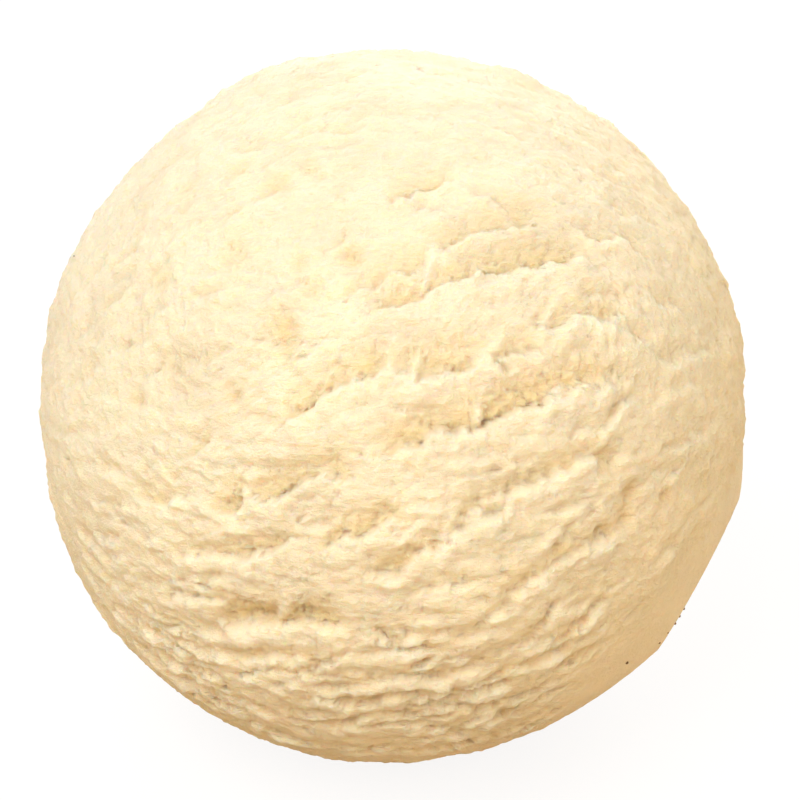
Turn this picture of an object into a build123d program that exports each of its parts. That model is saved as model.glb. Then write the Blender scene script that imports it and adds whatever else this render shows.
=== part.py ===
"""One round scoop of vanilla ice cream, a single solid ball that stands on its own small flat foot.

The scoop rolls the ice cream up as it is dragged, so the ball has a roll axis, which is X here. Every
tear in its skin runs roughly along that axis, from end to end, and opens towards the upper side of a
raised lip. The underside on the right was pressed flat and smooth against the bowl of the scoop.

The origin is the centre of the foot. +Z is up, the torn front looks along -Y, and roll angles are in
degrees about X, from 0 at the front over 90 at the top to 180 at the back.
"""

import math
import os
from typing import NamedTuple

from build123d import *

# Overall sizes of the ball before its foot is pressed flat, in mm
ball_width = 61.5
ball_depth = 62.0
ball_height = 62.4
foot_diameter = 19.0
end_flat_diameter = 2.0

# How finely the skin is shaped
station_angle = 3.0
points_per_section = 240

# The slow unevenness of a hand-made ball
swell_height = 0.30

# What every torn lip shares
crest_height = 0.38
crest_width = 1.3
step_width = 1.0
tear_fade = 2.5
end_calm = 7.0

# The smaller tears that go round the whole ball in rows
row_pitch = 9.0
row_tear_length = 13.0
row_tear_depth = 0.55
row_tear_reach = 2.0


class Tear(NamedTuple):
    """A torn lip between two ends, given by their places along X and their roll angles."""

    left: float
    right: float
    roll_left: float
    roll_right: float
    depth: float
    reach: float


class Flat(NamedTuple):
    """A pressed facet, whose normal leans towards +X and is then rolled about X."""

    lean: float
    roll: float
    inset: float


class Flake(NamedTuple):
    """A curl of ice cream that the rim of the scoop left standing out of the skin."""

    lean: float
    roll: float
    length: float
    height: float


main_tears = (
    Tear(-8, 5, 41, 57, 0.7, 3.0),
    Tear(-2, 6, 60, 66, 0.6, 2.5),
    Tear(-4, 17, 43, 54, 1.1, 3.4),
    Tear(10, 18, 41, 45, 1.1, 2.8),
    Tear(0, 8, 34, 38, 1.1, 2.6),
    Tear(7, 15, 36, 40, 1.0, 2.4),
    Tear(-9, 1, 28, 37, 1.2, 3.4),
    Tear(-3, 18, 22, 35, 1.3, 3.6),
    Tear(-15, -1, 13, 21, 1.2, 3.0),
    Tear(-22, -15, 13, 14, 0.8, 2.2),
    Tear(4, 16, 15, 22, 1.2, 1.8),
    Tear(-10, 4, 4, 15, 1.1, 2.2),
    Tear(4, 11, 8, 13, 1.2, 1.8),
    Tear(-7, 5, 2, 7, 1.0, 2.0),
    Tear(6, 14, 2, 3, 1.0, 1.8),
    Tear(-16, 3, -9, -1, 1.2, 2.4),
    Tear(-13, 3, -14, -9, 0.9, 1.6),
    Tear(-9, 9, -18, -11, 1.0, 1.6),
    Tear(-8, 1, -27, -20, 0.8, 1.6),
    Tear(4, 14, -23, -19, 0.8, 1.6),
)

flats = (
    Flat(36, -58, 0.75),
    Flat(60, -50, 0.55),
    Flat(8, -62, 0.50),
)

flakes = (
    Flake(20, 106, 4.0, 0.8),
    Flake(66, 48, 4.0, 0.7),
)

ball_radius = ball_width / 2
depth_share = ball_depth / ball_width
height_share = ball_height / ball_width
foot_drop = ball_height / 2 * math.sqrt(1 - (foot_diameter / ball_width) ** 2)


def smooth_step(value):
    """0 below 0, 1 above 1, and an S-shaped rise between."""
    t = min(max(value, 0.0), 1.0)
    return t * t * (3 - 2 * t)


def direction(lean, roll):
    """The unit vector that leans from the roll axis's middle plane towards +X, at a roll angle."""
    lean, roll = math.radians(lean), math.radians(roll)
    return (math.sin(lean), -math.cos(lean) * math.cos(roll), math.cos(lean) * math.sin(roll))


def angle_apart(roll, other):
    """The signed difference of two roll angles, from -180 to 180."""
    return (roll - other + 180) % 360 - 180


def row_tears():
    """Short tears in rows about the roll axis, two or three to a row, each row shifted along X."""
    tears = []
    for row in range(round(360 / row_pitch)):
        roll = row * 360 / round(360 / row_pitch)
        shift = ball_radius * 0.5 * math.sin(2.4 * row)
        for step in (-1.1, 0.0, 1.1):
            middle = shift + step * row_tear_length
            half = row_tear_length * (0.36 + 0.12 * math.sin(1.7 * row + 2 * step))
            if abs(middle) + half < ball_radius - end_calm / 2:
                slope = 4 + 3 * math.sin(0.9 * row + step)
                left, right = middle - half, middle + half
                tears.append(Tear(left, right, roll - slope, roll + slope, row_tear_depth, row_tear_reach))
    return tears


def recess_and_crest(tear, x, roll, girth):
    """How deep the torn hollow above a lip is at a place, and how high the lip's crest stands there."""
    share = (x - tear.left) / (tear.right - tear.left)
    lip_roll = tear.roll_left + (tear.roll_right - tear.roll_left) * smooth_step(share)
    across = math.radians(angle_apart(roll, lip_roll)) * girth
    fade = smooth_step((x - tear.left) / tear_fade) * smooth_step((tear.right - x) / tear_fade)
    slope_back = max(1 - max(across, 0) / tear.reach, 0) ** 1.5
    recess = tear.depth * fade * smooth_step(across / step_width + 0.5) * slope_back
    crest = crest_height * fade * math.exp(-(((across + 0.6 * crest_width) / crest_width) ** 2))
    return recess, crest


def swell(x, roll):
    """The slow rise and fall of the ball's surface."""
    turn = math.radians(roll)
    return swell_height * (
        math.sin(2 * turn + 0.09 * x + 0.6)
        + 0.7 * math.sin(3 * turn - 0.13 * x + 2.1)
        + 0.5 * math.sin(5 * turn + 0.21 * x)
    )


def flake_height(flake, unit):
    """The height of a flake at a unit vector: a smooth mound of the flake's own length."""
    cosine = sum(a * b for a, b in zip(unit, direction(flake.lean, flake.roll)))
    distance = ball_radius * math.acos(min(max(cosine, -1.0), 1.0))
    return flake.height * smooth_step(2 - 2 * distance / flake.length)


def skin_radius(x, roll, tears):
    """The distance from the ball's centre to its skin, at a station along X and a roll angle."""
    girth = math.sqrt(ball_radius**2 - x**2)
    calm = smooth_step((ball_radius - abs(x)) / end_calm)
    unit = direction(math.degrees(math.asin(x / ball_radius)), roll)
    marks = [recess_and_crest(tear, x, roll, girth) for tear in tears if tear.left < x < tear.right]
    recess = max((mark[0] for mark in marks), default=0.0)
    crest = max((mark[1] for mark in marks), default=0.0)
    radius = ball_radius + calm * (swell(x, roll) + crest - recess)
    radius += calm * sum(flake_height(flake, unit) for flake in flakes)
    for flat in flats:
        cosine = sum(a * b for a, b in zip(unit, direction(flat.lean, flat.roll)))
        if cosine > 0.5:
            radius = min(radius, (ball_radius - flat.inset) / cosine)
    return max(radius, abs(x) + 0.02)


def section_points(x, tears):
    """The closed outline of the ball at a station along X, as points in the YZ plane, from the top round."""
    points = []
    for index in range(points_per_section):
        roll = 90 + 360 * index / points_per_section
        radius = math.sqrt(skin_radius(x, roll, tears) ** 2 - x**2)
        turn = math.radians(roll)
        points.append((-radius * math.cos(turn) * depth_share, radius * math.sin(turn) * height_share))
    return points


tears = (*main_tears, *row_tears())
even_steps = [index / points_per_section for index in range(points_per_section + 1)]
end_angle = math.asin(end_flat_diameter / ball_width)
station_count = round((180 - 2 * math.degrees(end_angle)) / station_angle) + 1

with BuildPart() as scoop:
    sections = []
    for index in range(station_count):
        turn = end_angle + (math.pi - 2 * end_angle) * index / (station_count - 1)
        station = -ball_radius * math.cos(turn)
        with BuildSketch(Plane.YZ.offset(station)) as section:
            with BuildLine(mode=Mode.PRIVATE) as outline:
                add(Edge.make_spline(section_points(station, tears), periodic=True, parameters=even_steps))
            make_face(outline.edges())
        sections.append(section.sketch)
    loft(sections)
    split(bisect_by=Plane.XY.offset(-foot_drop), keep=Keep.TOP)

scoop.part = scoop.part.moved(Location((0, 0, foot_drop)))
scoop.part.label = "ice_cream_scoop"

os.makedirs("parts", exist_ok=True)
export_step(scoop.part, "parts/ice_cream_scoop.step")
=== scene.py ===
"""One round scoop of vanilla ice cream on a plain white table.

Lengths are worked out in mm and turned to metres where a mesh is made. The ball has a roll axis along X,
about which the scoop curled the ice cream. A place on it is given by x in mm and by its roll angle in
degrees about that axis: 0 is the front, 90 the top and 180 the back.
"""

import math

import bpy
import numpy as np
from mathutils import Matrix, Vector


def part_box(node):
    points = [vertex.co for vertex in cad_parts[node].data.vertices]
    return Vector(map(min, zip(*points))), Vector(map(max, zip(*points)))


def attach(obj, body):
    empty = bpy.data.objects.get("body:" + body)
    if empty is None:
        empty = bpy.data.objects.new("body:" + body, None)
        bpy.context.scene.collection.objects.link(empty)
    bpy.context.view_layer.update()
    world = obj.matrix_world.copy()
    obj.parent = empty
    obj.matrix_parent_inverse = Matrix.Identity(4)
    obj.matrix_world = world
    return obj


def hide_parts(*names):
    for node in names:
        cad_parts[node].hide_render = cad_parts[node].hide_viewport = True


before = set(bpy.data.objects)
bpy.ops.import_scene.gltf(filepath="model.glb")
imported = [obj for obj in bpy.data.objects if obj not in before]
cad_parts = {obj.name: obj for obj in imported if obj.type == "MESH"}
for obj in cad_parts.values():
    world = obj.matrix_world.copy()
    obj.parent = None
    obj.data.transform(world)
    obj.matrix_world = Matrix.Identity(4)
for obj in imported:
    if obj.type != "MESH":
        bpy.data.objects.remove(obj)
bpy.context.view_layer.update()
metre = 1000.0  # in mm
low_corner, high_corner = (np.array(corner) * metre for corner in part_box("ice_cream_scoop"))

# ---------------------------------------------------------------------------------------------------
# The ball
# Hard frozen cream with air whipped in. A scoop dragged through the tub rolls it up, so its skin is torn
# into ragged lips that run along the roll axis, while the part pressed against the bowl is smooth.

ball_width = 61.5
ball_depth = 62.0
ball_height = 62.4
foot_diameter = 19.0
ball_radius = ball_width / 2
axis_shares = np.array([1.0, ball_depth / ball_width, ball_height / ball_width])
centre_height = ball_height / 2 * math.sqrt(1 - (foot_diameter / ball_width) ** 2)
swell_height = 0.3
skin_clearance = 0.05

# The mesh: cells along each edge of the cube it starts from, how much closer they are set at the front,
# how far the front looks up, and the decimals at which points count as the same
face_cells = 128
front_share = 1.38
front_lean = math.radians(30)
weld_decimals = 6


def smooth_step(value):
    """0 below 0, 1 above 1, and 3t^2 - 2t^3 between."""
    t = np.clip(value, 0.0, 1.0)
    return t * t * (3 - 2 * t)


# Odd numbers that stir a corner's place and a seed into bits that look random
corner_factors = np.array([374761393, 668265263, 1103515245])
seed_factor = 144665
stir_factor = 1274126177
low_32_bits = 0xFFFFFFFF
low_16_bits = 0xFFFF


def lattice_noise(points, seed):
    """A hash of the eight whole-number corners round each point, from -1 to 1, and between them a blend
    that follows 6t^5 - 15t^4 + 10t^3."""
    cell = np.floor(points).astype(np.int64)
    part = points - cell
    ease = part**3 * (part * (part * 6 - 15) + 10)
    total = 0.0
    for corner in ((i, j, k) for i in (0, 1) for j in (0, 1) for k in (0, 1)):
        place = cell + np.array(corner)
        bits = ((place * corner_factors).sum(axis=-1) + seed * seed_factor) & low_32_bits
        bits = (bits ^ (bits >> 13)) * stir_factor & low_32_bits
        value = ((bits ^ (bits >> 16)) & low_16_bits) / (low_16_bits / 2) - 1
        total = total + value * np.prod(np.where(np.array(corner) == 1, ease, 1 - ease), axis=-1)
    return total


def direction(x, roll):
    """The unit vector (s, -c cos(roll), c sin(roll)), where s is x / radius and c is sqrt(1 - s^2)."""
    share = np.clip(np.asarray(x, float) / ball_radius, -1, 1)
    level = np.sqrt(1 - share**2)
    turn = np.radians(roll)
    return np.stack([share + 0 * turn, -level * np.cos(turn), level * np.sin(turn)], axis=-1)


def cube_ball(cells, share, lean):
    """A cube's six faces, such as (1, tan(u), tan(v)) for u and v from -45 to 45 degrees, on a unit ball.

    The angle from the front axis is then narrowed by tan(half) -> tan(half) / share, which sets the
    cells closer at the front than at the back. Shared corners are welded.
    """
    side = np.tan(np.linspace(-math.pi / 4, math.pi / 4, cells + 1))
    u, v = np.meshgrid(side, side, indexing="ij")
    one = np.ones_like(u)
    faces = [(one, u, v), (-one, v, u), (v, one, u), (u, -one, v), (u, v, one), (v, u, -one)]
    points = np.concatenate([np.stack(face, axis=-1).reshape(-1, 3) for face in faces])
    points /= np.linalg.norm(points, axis=1, keepdims=True)
    row, column = np.meshgrid(np.arange(cells), np.arange(cells), indexing="ij")
    first = (row * (cells + 1) + column).reshape(-1)
    quad = np.stack([first, first + cells + 1, first + cells + 2, first + 1], axis=1)
    quads = np.concatenate([quad + k * (cells + 1) ** 2 for k in range(6)])
    rounded = np.round(points, weld_decimals)
    _, kept, welded = np.unique(rounded, axis=0, return_index=True, return_inverse=True)
    points, quads = points[kept], welded.reshape(-1)[quads]
    front = np.array([0.0, -math.cos(lean), math.sin(lean)])
    along = points @ front
    beside = points - along[:, None] * front
    width = np.linalg.norm(beside, axis=1)
    angle = 2 * np.arctan(np.tan(np.arccos(np.clip(along, -1, 1)) / 2) / share)
    beside = beside / np.maximum(width, 1e-9)[:, None]
    return np.cos(angle)[:, None] * front + np.sin(angle)[:, None] * beside, quads


# Each torn lip: its left and right ends in mm, the roll angles there, its depth and its reach in mm
main_tears = [
    (-5, 13, 45, 61, 0.8, 2.5), (13, 21, 59, 62, 0.5, 1.6), (-1, 5.5, 60, 65, 0.7, 2.5),
    (5.5, 12, 61.5, 60.5, 0.6, 2), (-3, 17, 44, 54, 1.1, 3.2), (9.5, 19, 41.5, 47, 0.9, 2.4),
    (-1, 13, 34.5, 37, 1.0, 3.0), (11, 19, 31.5, 36, 0.7, 1.5), (-9, 0.5, 28, 36, 1.1, 3.0),
    (-3, 19, 23, 34, 1.3, 3.5), (15, 18.5, 25.5, 32, 0.8, 1.0), (-15, -2, 13, 21, 1.1, 3.0),
    (-21, -15.5, 12.5, 13.5, 0.8, 1.8), (-16, -13.5, 23, 25, 0.6, 1.5), (3.5, 17.5, 14.5, 22, 1.1, 2.0),
    (-6, 1.5, 10, 14.5, 1.2, 2.5), (-3, 10, 6, 14.5, 1.3, 2.0), (-18, -5, 3, 10, 1.0, 2.0),
    (7, 19, 2, 8, 0.9, 2.0), (6.5, 9.5, -2, 0, 0.8, 1.5), (9, 13.5, -9, -1.5, 0.7, 1.0),
    (-15, -3, -8, -3, 1.6, 3.0), (-15, -5, -15, -10, 0.8, 1.5), (-2.5, 1, -8.5, -7, 0.7, 1.0),
    (-9, 9, -17, -11, 0.9, 1.2), (9, 14.5, -13.5, -12, 0.8, 1.0), (-8, 4, -20, -17, 0.9, 1.2),
    (6, 13, -23, -22, 0.8, 1.2), (-7, 0.5, -27, -22, 0.7, 1.2), (1, 7.5, -24, -23, 0.7, 1.0),
    (15, 17.5, -21, -17, 0.8, 1.2), (-21, -16, -18, -20, 0.5, 1.4), (-12, -7.5, 92, 89, 0.35, 1.6),
    (0.8, 3.5, 98, 89, 0.35, 1.4), (15, 21.5, 88, 80, 0.4, 2.0),
]

# Fields of smaller tears: how many, the x and roll limits, the length limits, the depth and the reach
tear_fields = [
    (84, (-21, 16), (-38, -4), (3.0, 9.0), 0.64, 1.1),
    (56, (-26, -12), (-30, 8), (1.6, 4.0), 0.50, 0.9),
    (60, (-17, 19), (-4, 50), (2.0, 6.5), 0.40, 0.9),
    (40, (-22, 4), (36, 80), (1.8, 5.0), 0.26, 1.1),
    (34, (16, 26), (-4, 56), (2.5, 5.5), 0.34, 0.9),
    (44, (-28, -17), (-8, 64), (1.6, 4.0), 0.36, 1.1),
    (34, (-18, 22), (62, 108), (2.5, 7.0), 0.28, 1.2),
    (90, (-24, 24), (104, 200), (4.0, 13.0), 0.80, 2.2),
    (64, (-24, 24), (196, 285), (4.0, 12.0), 0.65, 1.8),
    (200, (-27, 27), (104, 310), (2.0, 7.0), 0.50, 0.9),
]

# How those vary: how many degrees a lip rises for each mm to the right, and the shares of its field's
# depth and reach. A tear ends this far from the middle at most, and a shorter one is left out.
tear_rise, tear_rise_spread = 0.5, 0.35
tear_depth_shares = (0.55, 1.35)
tear_reach_shares = (0.7, 1.3)
tear_end_limit = 29.0
shortest_tear = 1.2
tear_seed = 16

# What every tear shares: the width of its torn edge and of a small tear's, the shares of its depth that
# the hollow, the lip and the lean take, and the waves of its ragged edge (per mm, height in mm, seed)
tear_edge_width = 0.34
small_tear_edge_width = tear_edge_width * 0.8
hollow_share = 0.66
lip_share = 0.42
lean_share = 0.10
ragged_waves = [(0.55, 0.7, 3), (1.5, 0.26, 4)]
tooth_height = 0.22

# Small hollows that are neither torn nor long: x, roll, depth and width
pits = [
    (18.5, 14.5, 0.7, 0.8), (18, 10, 0.7, 0.8), (21.6, 11.5, 0.6, 0.7), (13.5, 10, 0.6, 0.6),
    (12.5, 8.5, 0.6, 0.6), (16.2, 8, 0.7, 0.8), (16.5, 21.5, 0.6, 0.9), (-12, 54.5, 0.3, 1.4),
    (-17.8, 53, 0.3, 1.2), (-6.5, 68, 0.3, 0.9), (-8.8, 65, 0.3, 1.1), (-12, 70, 0.25, 1.0),
    (-15.8, 70, 0.25, 0.9), (-3, 52, 0.55, 0.9), (-7, 51, 0.3, 0.8), (-5.8, 47, 0.35, 0.8),
    (-8.2, 41.5, 0.55, 1.2), (-16.5, 37, 0.3, 1.3), (-7.8, 38, 0.35, 1.0), (-20, 31.5, 0.3, 1.0),
    (-12, 32, 0.4, 0.8), (-11.8, -5.5, 0.9, 1.2), (-10, -4.5, 0.7, 0.9), (8.5, 35.8, 0.6, 0.4),
]

# Thin strings of cream left across a tear: x and roll at each end, height and half width
strings = [
    (6.6, 36.5, 12.2, 49.5, 0.75, 0.42), (0.9, 29.0, 1.9, 36.5, 0.7, 0.4),
    (6.2, 28.5, 7.3, 37.0, 0.8, 0.4), (3.6, 9.5, 4.6, 17.0, 0.7, 0.4),
    (-7.0, 7.0, -5.6, 13.5, 0.7, 0.4), (-9.6, -8.5, -8.4, -0.5, 0.8, 0.45),
    (-11.5, 15.5, -10.2, 22.0, 0.7, 0.4), (11.6, 43.0, 13.0, 49.0, 0.6, 0.4),
    (2.4, 47.0, 3.2, 53.5, 0.6, 0.4),
]

# Flats pressed by the bowl: lean towards +X and roll in degrees, and inset in mm
flats = [(36, -58, 0.75), (60, -50, 0.55), (8, -62, 0.50)]
flat_reach_cosine = 0.5

# Curls left by the bowl's rim: lean and roll in degrees, and length and height in mm
flakes = [(20, 106, 4.0, 0.5), (66, 48, 4.0, 0.45)]

# The grain of the skin: waves per mm along X and round the ball for the fibres, waves per mm for the
# lumps and crumbs, and how high or deep each is in mm. Fibres lie along the roll axis, four times as long.
fibre_waves = np.array([0.28, 1.15, 1.15])
lump_waves = (0.42, 0.95)
crumb_waves = (1.7, 3.1)
fibre_height = 0.17
lump_height = 0.13
crumb_depth = 0.26
extra_crumb_depth_in_hollows = 0.3
grain_lift = 0.08


def scattered_tears(fields, seed):
    """Seeded tears for each field, which rise to the right by tear_rise degrees for each mm, give or take."""
    random = np.random.default_rng(seed)
    tears = []
    for count, xs, rolls, lengths, depth, reach in fields:
        x, roll = random.uniform(*xs, count), random.uniform(*rolls, count)
        half = random.uniform(*lengths, count) / 2
        rise = half * random.normal(tear_rise, tear_rise_spread, count)
        deep = depth * random.uniform(*tear_depth_shares, count)
        far = reach * random.uniform(*tear_reach_shares, count)
        half = np.minimum(half, tear_end_limit - np.abs(x))
        tears += list(zip(x - half, x + half, roll - rise, roll + rise, deep, far))
    return [tear for tear in tears if tear[1] - tear[0] > shortest_tear]


def torn_skin(tears, x, roll, girth, edge_width):
    """How deep the skin is torn at each place, how high a lip stands there, and how far it leans.

    above is the distance round the ball above the lip line, and edge the distance above its ragged edge.
    The hollow is hollow_share * depth * step(edge / edge_width + 0.5) * (1 - above / (1.2 reach))^1.15, and
    the lip is a bell curve just below the edge. Both fade out at the ends of the tear, and where tears
    meet the deeper hollow and the higher lip hold. The lip leans up over its own hollow.
    """
    hollow, lip, lean = np.zeros_like(x), np.zeros_like(x), np.zeros_like(x)
    for index, (left, right, roll_left, roll_right, depth, reach) in enumerate(tears):
        place = np.flatnonzero((x > left) & (x < right))
        along = x[place]
        line = roll_left + (roll_right - roll_left) * smooth_step((along - left) / (right - left))
        above = np.radians((roll[place] - line + 180) % 360 - 180) * girth[place]
        near = np.abs(above) < reach + 3
        place, along, above = place[near], along[near], above[near]
        if not len(place):
            continue
        row = np.full_like(along, index * 7.31)
        ragged = sum(tall * lattice_noise(np.stack([along * waves, row, row * 0], axis=-1), seed)
                     for waves, tall, seed in ragged_waves)
        teeth = lattice_noise(np.stack([along * 2.2, row, above * 1.5], axis=-1), 5)
        edge = above + (ragged + tooth_height * teeth) * min(1.0, 0.4 + depth)
        end = 0.18 * (right - left) + 0.5
        fade = smooth_step((along - left) / end) * smooth_step((right - along) / end)
        open_share = np.clip(1 - np.maximum(above, 0) / (1.2 * reach), 0, 1) ** 1.15
        deep = hollow_share * depth * fade * smooth_step(edge / edge_width + 0.5) * open_share
        thick = 0.55 + 0.35 * depth
        rope = 0.75 + 0.45 * lattice_noise(np.stack([along * 0.8, row, row * 0], axis=-1), 6)
        high = lip_share * min(depth, 1.0) * fade * rope * np.exp(-(((edge + 0.7 * thick) / thick) ** 2))
        bent = depth * lean_share * fade * np.exp(-(((edge + 0.25) / 0.5) ** 2))
        hollow[place] = np.maximum(hollow[place], deep)
        lip[place] = np.maximum(lip[place], high)
        lean[place] = np.maximum(lean[place], bent)
    return hollow, lip, lean


def slow_swell(x, turn):
    """The unevenness of a ball made by hand: three sine waves round it, each twisting along X."""
    waves = np.sin(2 * turn + 0.09 * x + 0.6) + 0.7 * np.sin(3 * turn - 0.13 * x + 2.1)
    return swell_height * (waves + 0.5 * np.sin(5 * turn + 0.21 * x))


def with_pits(hollow, unit):
    """Adds a round hollow, depth * exp(-(distance / width)^2), at each pit."""
    for x, roll, depth, width in pits:
        gap = np.linalg.norm(unit - direction(x, roll), axis=1) * ball_radius
        hollow = hollow + depth * np.exp(-((gap / width) ** 2))
    return hollow


def with_strings(hollow, surface):
    """Fills the hollow back in along each string, by a bell curve about the line between its ends."""
    for x_start, roll_start, x_end, roll_end, tall, width in strings:
        start = direction(x_start, roll_start) * ball_radius
        line = direction(x_end, roll_end) * ball_radius - start
        share = np.clip((surface - start) @ line / (line @ line), 0, 1)
        gap = np.linalg.norm(surface - start - share[:, None] * line, axis=1)
        gap = gap + 0.25 * lattice_noise(surface * 0.9, 31)
        hollow = hollow - np.minimum(hollow, tall) * np.exp(-((gap / width) ** 2))
    return hollow


def pressed_share(x, roll):
    """1 on the lower right, which the bowl pressed smooth, 0 elsewhere, and smooth steps between."""
    below_right = smooth_step((-roll - 8 - 0.75 * (25 - x)) / 6) * smooth_step((x - 11) / 5)
    return below_right * smooth_step((roll + 125) / 20)


def grain(surface, roll, hollow, pressed):
    """Fibres and lumps less crumbs, in mm: rougher on the torn front, and nearly flat where pressed."""
    strand = surface * fibre_waves
    fibre = lattice_noise(strand, 21) + 0.55 * lattice_noise(strand * 2.1, 22)
    lump = lattice_noise(surface * lump_waves[0], 23) + 0.6 * lattice_noise(surface * lump_waves[1], 24)
    crumb = np.abs(lattice_noise(surface * crumb_waves[0], 25))
    crumb = crumb + 0.5 * np.abs(lattice_noise(surface * crumb_waves[1], 26))
    torn = smooth_step(1 - np.abs(roll - 16) / 62) * smooth_step(1.2 - np.abs(surface[:, 0] + 1) / 26)
    rough = (0.78 + 0.4 * torn) * (1 - 0.85 * pressed)
    crumb_share = crumb_depth + extra_crumb_depth_in_hollows * np.clip(hollow, 0, 1)
    return rough * (fibre_height * fibre + lump_height * lump - crumb_share * crumb + grain_lift)


def leaning(lean, roll):
    """The unit vector that leans towards +X and is then rolled, both in degrees."""
    return direction(ball_radius * math.sin(math.radians(lean)), roll)


def with_curls_and_flats(height, unit):
    """Raises each curl by a smooth step of its distance, then cuts the ball off at each flat's plane."""
    for lean, roll, length, tall in flakes:
        gap = np.linalg.norm(unit - leaning(lean, roll), axis=1)
        height = height + tall * smooth_step(1.6 - 2 * gap * ball_radius / length)
    for lean, roll, inset in flats:
        cosine = unit @ leaning(lean, roll)
        flat = (ball_radius - inset) / np.maximum(cosine, flat_reach_cosine)
        height = np.where(cosine > flat_reach_cosine, np.minimum(height, flat), height)
    return height


def skin(unit):
    """The ball's skin along unit vectors: points in mm about its centre, and its hollow and lip in mm.

    The height is radius + swell + lip - hollow + grain, before the curls and flats. Those four fade out at
    the rim of the foot, and all but the grain at the ends of the roll axis.
    """
    surface = unit * ball_radius
    x = unit[:, 0] * ball_radius
    roll = np.degrees(np.arctan2(unit[:, 2], -unit[:, 1]))
    girth = ball_radius * np.hypot(unit[:, 1], unit[:, 2])
    turn = np.radians(roll)
    from_foot = ball_radius * np.hypot(unit[:, 0], unit[:, 1]) - foot_diameter / 2
    foot_calm = np.where(unit[:, 2] < 0, smooth_step((from_foot - 1) / 5), 1.0)
    calm = smooth_step(girth / 9) * foot_calm

    hollow, lip, lean = torn_skin(main_tears, x, roll, girth, tear_edge_width)
    small_tears = scattered_tears(tear_fields, tear_seed)
    small_hollow, small_lip, small_lean = torn_skin(small_tears, x, roll, girth, small_tear_edge_width)
    hollow = np.maximum(hollow, small_hollow * (1 - np.clip(2.4 * lip, 0, 0.85)) + 0.2 * hollow)
    lip = np.maximum(lip, 1.1 * small_lip * (1 - np.clip(hollow, 0, 0.8)))
    lean = np.maximum(lean, small_lean)
    hollow = with_strings(with_pits(hollow, unit), surface)

    # The deepest hollows are eased towards 1.2 mm
    hollow = 1.2 * np.tanh(hollow / 1.2)

    pressed = pressed_share(x, roll)
    relief = grain(surface, roll, hollow, pressed)
    hollow, lip, lean = (field * (1 - 0.9 * pressed) for field in (hollow, lip, lean))
    height = ball_radius + calm * (slow_swell(x, turn) + lip - hollow) + foot_calm * relief
    height = with_curls_and_flats(height, unit)
    upward = np.stack([0 * turn, np.sin(turn), np.cos(turn)], axis=-1)
    points = unit * height[:, None] + upward * (lean * calm)[:, None]
    return points * axis_shares, hollow * calm, lip * calm


def place_on_foot(points):
    """Lifts points about the ball's centre to where it stands, presses what is below the foot flat, and
    keeps them just inside the solid's box."""
    placed = points + np.array([0, 0, centre_height])
    placed[:, 2] = np.maximum(placed[:, 2], 0)
    inside = np.array([skin_clearance, skin_clearance, 0])
    return np.clip(placed, low_corner + inside, high_corner - skin_clearance)


def new_piece(name, points, faces):
    """A smooth mesh in metres from points in mm, riding on the ball's body."""
    mesh = bpy.data.meshes.new(name)
    mesh.from_pydata((points / metre).tolist(), [], faces.tolist())
    mesh.shade_smooth()
    mesh.validate()
    piece = bpy.data.objects.new(name, mesh)
    bpy.context.collection.objects.link(piece)
    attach(piece, "root")
    return piece


def set_field(piece, name, values):
    """Stores one number for each vertex."""
    layer = piece.data.attributes.new(name, "FLOAT", "POINT")
    layer.data.foreach_set("value", np.asarray(values, dtype=np.float32))


# The material's fields reach 1 at this hollow and this lip in mm, and the painted light lies towards the
# upper left front, the side the key lamp lights
full_hollow = 0.7
full_lip = 0.4
painted_light_side = np.array([-0.38, -0.42, 0.82])

unit, quads = cube_ball(face_cells, front_share, front_lean)
points, hollow, lip = skin(unit)
ball = new_piece("ball", place_on_foot(points), quads)
set_field(ball, "hollow", np.clip(hollow / full_hollow, 0, 1))
set_field(ball, "lip", np.clip(lip / full_lip, 0, 1))
# Painted light: near 1 on the side that faces the key lamp, near 0 on the shaded lower right and back
set_field(ball, "painted_light", smooth_step(0.5 + 0.5 * unit @ painted_light_side))
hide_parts("ice_cream_scoop")


def srgb(code):
    """The linear colour of an sRGB hex code: c / 12.92 when dark, else ((c + 0.055) / 1.055)^2.4."""
    parts = np.array([int(code[i:i + 2], 16) / 255 for i in (1, 3, 5)])
    linear = np.where(parts <= 0.04045, parts / 12.92, ((parts + 0.055) / 1.055) ** 2.4)
    return (*linear.tolist(), 1.0)


def add_node(tree, kind, links=(), stops=(), **settings):
    """Adds a node and sets its properties and input values.

    A link is a socket that it comes from and the input it goes to, by name or number. A stop is a place
    on the node's colour ramp and a hex code.
    """
    node = tree.nodes.new(kind)
    for key, value in settings.items():
        if hasattr(node, key):
            setattr(node, key, value)
        else:
            node.inputs[key.replace("_", " ")].default_value = value
    while stops and len(node.color_ramp.elements) < len(stops):
        node.color_ramp.elements.new(0.5)
    for index, (position, code) in enumerate(stops):
        element = node.color_ramp.elements[index]
        element.position, element.color = position, srgb(code)
    for socket, target in links:
        tree.links.new(socket, node.inputs[target])
    return node


# The numbers of a mix node's sockets when it mixes colours
mix_share, mix_first, mix_second, mix_result = 0, 6, 7, 2

# Frozen vanilla cream: fat and fine ice with air in it. Light goes about a millimetre into it, so edges glow,
# and its frosted skin has only a broad, weak gloss. Its colour also holds painted light: a deeper butter
# yellow painted into the hollows as shade and near white painted onto the lips as highlight.
cream = bpy.data.materials.new("frozen_vanilla_cream")
cream.use_nodes = True
tree = cream.node_tree
tree.nodes.clear()
place = add_node(tree, "ShaderNodeTexCoord").outputs["Object"]
in_mm = add_node(tree, "ShaderNodeVectorMath", [(place, 0)], operation="SCALE", Scale=metre).outputs[0]
hollow_field = add_node(tree, "ShaderNodeAttribute", attribute_name="hollow").outputs["Fac"]
lip_field = add_node(tree, "ShaderNodeAttribute", attribute_name="lip").outputs["Fac"]
painted_light_field = add_node(tree, "ShaderNodeAttribute", attribute_name="painted_light").outputs["Fac"]
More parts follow.
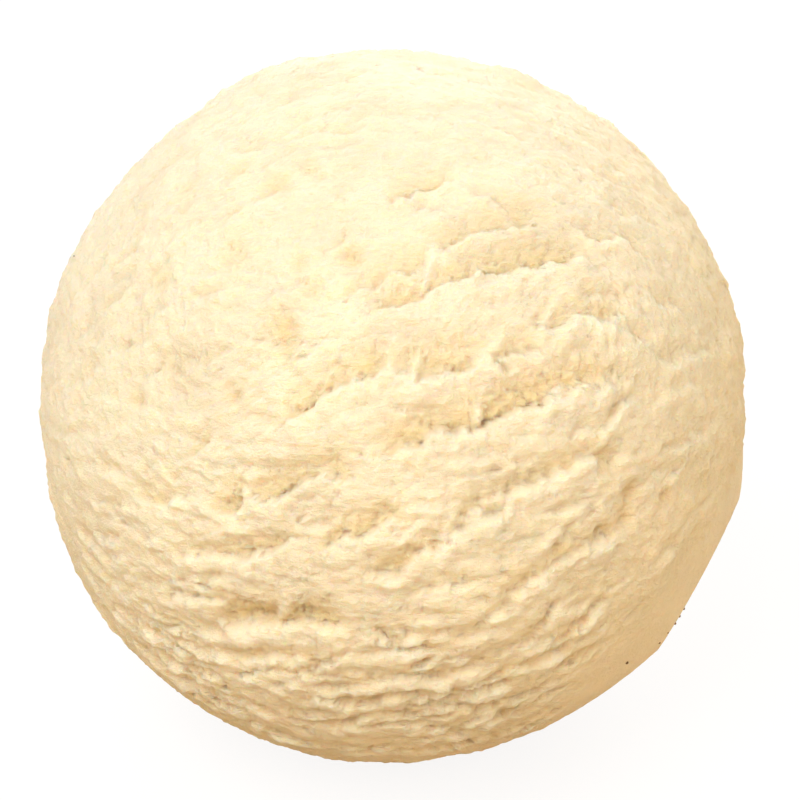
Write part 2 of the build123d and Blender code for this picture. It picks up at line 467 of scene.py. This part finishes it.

# Painted light and shade: butter yellow low on the right and at the back, paler towards the key lamp at the
# upper left, deeper in the hollows as painted shade and near white on the lips as painted highlight
skin_colour = add_node(tree, "ShaderNodeValToRGB", [(painted_light_field, "Fac")],
                       [(0.1, "#edd4a6"), (0.5, "#f0ddb6"), (1.0, "#fbf0d6")]).outputs["Color"]
hollow_shade_colour = add_node(tree, "ShaderNodeValToRGB", [(painted_light_field, "Fac")],
                       [(0.1, "#e0b97f"), (0.5, "#e7c792"), (1.0, "#f4dcaa")]).outputs["Color"]
# Painted shade: the hollows are given a darker, deeper butter yellow than the skin around them
depth_mix = add_node(tree, "ShaderNodeMix",
                     [(hollow_field, mix_share), (skin_colour, mix_first), (hollow_shade_colour, mix_second)],
                     data_type="RGBA")
# Painted highlight: the lips, which face up towards the lamps, are painted near white
lip_mix = add_node(tree, "ShaderNodeMix",
                   [(lip_field, mix_share), (depth_mix.outputs[mix_result], mix_first)], data_type="RGBA")
lip_mix.inputs[mix_second].default_value = srgb("#fbf1d8")

# Patches of slightly different tone, about 7 mm across
patches_per_mm = 0.14
patch = add_node(tree, "ShaderNodeTexNoise", [(in_mm, "Vector")],
                 Scale=patches_per_mm, Detail=4.0, Roughness=0.6)
patch_tone = add_node(tree, "ShaderNodeValToRGB", [(patch.outputs["Fac"], "Fac")],
                      [(0.3, "#f0efec"), (0.7, "#ffffff")]).outputs["Color"]
toned = add_node(tree, "ShaderNodeMix",
                 [(lip_mix.outputs[mix_result], mix_first), (patch_tone, mix_second)],
                 data_type="RGBA", blend_type="MULTIPLY")
toned.inputs[mix_share].default_value = 1.0

# Grains of cream 0.4 mm across, drawn out along the roll axis, and ice crystals of 0.15 mm on them
grains_per_mm = 2.4
crystals_per_mm = 6.5
grain_height = 0.0005
crystal_height = 0.00014
drawn_out = add_node(tree, "ShaderNodeMapping", [(in_mm, "Vector")])
drawn_out.inputs["Scale"].default_value = (0.4, 1.0, 1.0)
grains = add_node(tree, "ShaderNodeTexNoise", [(drawn_out.outputs[0], "Vector")],
                  Scale=grains_per_mm, Detail=5.0, Roughness=0.62)
crystals = add_node(tree, "ShaderNodeTexNoise", [(in_mm, "Vector")],
                    Scale=crystals_per_mm, Detail=3.0, Roughness=0.7)
coarse_bump = add_node(tree, "ShaderNodeBump", [(grains.outputs["Fac"], "Height")],
                       Strength=1.0, Distance=grain_height)
fine_bump = add_node(tree, "ShaderNodeBump",
                     [(crystals.outputs["Fac"], "Height"), (coarse_bump.outputs[0], "Normal")],
                     Strength=0.8, Distance=crystal_height)

# Light spreads about 1.1 mm in the cream, and red the furthest
light_depth = 0.0011
cream_shader = add_node(tree, "ShaderNodeBsdfPrincipled",
                        [(toned.outputs[mix_result], "Base Color"), (fine_bump.outputs[0], "Normal")],
                        Roughness=0.6, IOR=1.36, Subsurface_Weight=0.85, Subsurface_Scale=light_depth)
cream_shader.inputs["Subsurface Radius"].default_value = (1.0, 0.66, 0.36)
add_node(tree, "ShaderNodeOutputMaterial", [(cream_shader.outputs[0], "Surface")])
ball.data.materials.append(cream)

# ---------------------------------------------------------------------------------------------------
# Vanilla specks
# A few seeds and scrapings of the vanilla pod, 0.16 to 0.3 mm across, dark brown, half sunk in the skin.
# Each is a small ball on the skin at its x in mm and its roll in degrees.

speck_places = np.array([
    (24.3, -31.5), (23.9, -32.4), (23.5, -33.3), (22.9, -34.2), (22.2, -35.2), (19.2, -29.1),
    (-21.8, 94.0), (-26.4, 82.0), (8.5, 35.8), (-4.0, 150.0), (12.0, 168.0), (20.0, 141.0), (-16.0, 196.0),
])
smallest_speck_radius = 0.08
speck_radius_spread = 0.07
speck_seed = 52
speck_cells = 3
speck_shares = np.random.default_rng(speck_seed).uniform(0, 1, len(speck_places))
speck_radii = smallest_speck_radius + speck_radius_spread * speck_shares
speck_centres = skin(direction(speck_places[:, 0], speck_places[:, 1]))[0]
speck_grid, speck_quads = cube_ball(speck_cells, 1.0, 0.0)
speck_points = speck_centres[:, None] + speck_grid[None] * speck_radii[:, None, None]
speck_points = place_on_foot(speck_points.reshape(-1, 3))
first_points = len(speck_grid) * np.arange(len(speck_places))
speck_faces = (speck_quads[None] + first_points[:, None, None]).reshape(-1, 4)
specks = new_piece("vanilla_specks", speck_points, speck_faces)

# Dried vanilla pod: dull and dark brown, mottled in grains of 0.4 mm, with no gloss of its own.
pod = bpy.data.materials.new("vanilla_pod")
pod.use_nodes = True
tree = pod.node_tree
tree.nodes.clear()
place = add_node(tree, "ShaderNodeTexCoord").outputs["Object"]
pod_grains_per_metre = 2500.0
pod_noise = add_node(tree, "ShaderNodeTexNoise", [(place, "Vector")], Scale=pod_grains_per_metre, Detail=2.0)
pod_colour = add_node(tree, "ShaderNodeValToRGB", [(pod_noise.outputs["Fac"], "Fac")],
                      [(0.3, "#5a3f25"), (0.7, "#8a6a45")]).outputs["Color"]
pod_shader = add_node(tree, "ShaderNodeBsdfPrincipled", [(pod_colour, "Base Color")], Roughness=0.8)
add_node(tree, "ShaderNodeOutputMaterial", [(pod_shader.outputs[0], "Surface")])
specks.data.materials.append(pod)

# ---------------------------------------------------------------------------------------------------
# The table, the camera and the lights
# A plain white table under soft studio light: one large lamp above the camera's left shoulder, a weaker
# fill on the right, a third lamp behind, and a pale room all round. Lamps and camera are in metres.

table_reach = 1.5
table_corners = [(-table_reach, -table_reach, 0), (table_reach, -table_reach, 0),
                 (table_reach, table_reach, 0), (-table_reach, table_reach, 0)]
table_mesh = bpy.data.meshes.new("table")
table_mesh.from_pydata(table_corners, [], [(0, 1, 2, 3)])
table = bpy.data.objects.new("table", table_mesh)
bpy.context.collection.objects.link(table)

# Smooth painted board. The camera sees it near white with the ball's soft shadow, and the ball sees a
# warmer board, which sends tan light up into its underside.
board = bpy.data.materials.new("painted_board")
board.use_nodes = True
tree = board.node_tree
tree.nodes.clear()
seen = add_node(tree, "ShaderNodeLightPath")
camera_or_gloss = add_node(tree, "ShaderNodeMath",
                           [(seen.outputs["Is Camera Ray"], 0), (seen.outputs["Is Glossy Ray"], 1)],
                           operation="MAXIMUM")
any_view = add_node(tree, "ShaderNodeMath",
                    [(camera_or_gloss.outputs[0], 0), (seen.outputs["Is Transmission Ray"], 1)],
                    operation="MAXIMUM")
warm = add_node(tree, "ShaderNodeBsdfDiffuse", Color=srgb("#c2a576"))
white = add_node(tree, "ShaderNodeBsdfDiffuse", Color=srgb("#ffffff"))
glow = add_node(tree, "ShaderNodeEmission", Color=srgb("#ffffff"), Strength=1.0)
glow_share = 0.86
lit_white = add_node(tree, "ShaderNodeMixShader", [(white.outputs[0], 1), (glow.outputs[0], 2)],
                     Fac=glow_share)
shown = add_node(tree, "ShaderNodeMixShader",
                 [(any_view.outputs[0], 0), (warm.outputs[0], 1), (lit_white.outputs[0], 2)])
add_node(tree, "ShaderNodeOutputMaterial", [(shown.outputs[0], "Surface")])
table_mesh.materials.append(board)

world = bpy.data.worlds.new("pale_room")
bpy.context.scene.world = world
world.use_nodes = True
tree = world.node_tree
tree.nodes.clear()
seen = add_node(tree, "ShaderNodeLightPath")
room_light = add_node(tree, "ShaderNodeBackground", Color=srgb("#f6f0e6"), Strength=0.72)
room_white = add_node(tree, "ShaderNodeBackground", Color=srgb("#ffffff"), Strength=1.0)
room = add_node(tree, "ShaderNodeMixShader",
                [(seen.outputs["Is Camera Ray"], 0), (room_light.outputs[0], 1), (room_white.outputs[0], 2)])
add_node(tree, "ShaderNodeOutputWorld", [(room.outputs[0], "Surface")])


def look_at(item, target):
    """Turns a lamp or camera so that its -Z axis points at a target in metres, with its Y axis up."""
    away = np.array(item.location) - np.array(target)
    away = away / np.linalg.norm(away)
    side = np.cross([0, 0, 1], away)
    side = side / np.linalg.norm(side)
    turn = np.stack([side, np.cross(away, side), away], axis=1)
    pitch = math.acos(np.clip(turn[2, 2], -1, 1))
    item.rotation_euler = (pitch, 0, math.atan2(turn[1, 0], turn[0, 0]))


def add_lamp(name, position, size, watts, code):
    """A square soft lamp that faces the ball."""
    light = bpy.data.lights.new(name, "AREA")
    light.size, light.energy, light.color = size, watts, srgb(code)[:3]
    lamp = bpy.data.objects.new(name, light)
    lamp.location = position
    look_at(lamp, (0, 0, centre_height / metre))
    bpy.context.collection.objects.link(lamp)


add_lamp("key_lamp", (-0.42, -0.40, 0.62), 0.7, 5.7, "#fffdfa")
add_lamp("fill_lamp", (0.58, -0.54, 0.34), 0.8, 3.7, "#fff8ee")
add_lamp("back_lamp", (0.15, 0.74, 0.30), 0.7, 5.0, "#fffaf2")

camera_distance = 0.1958
camera_data = bpy.data.cameras.new("camera")
camera_data.lens, camera_data.sensor_width = 100, 36
camera = bpy.data.objects.new("camera", camera_data)
aim = np.array([0.0006, 0.0, centre_height / metre + 0.0008])
camera.location = aim + camera_distance * np.array([0, -math.cos(front_lean), math.sin(front_lean)])
look_at(camera, aim)
bpy.context.collection.objects.link(camera)
bpy.context.scene.camera = camera
bpy.context.scene.view_settings.view_transform = "Standard"
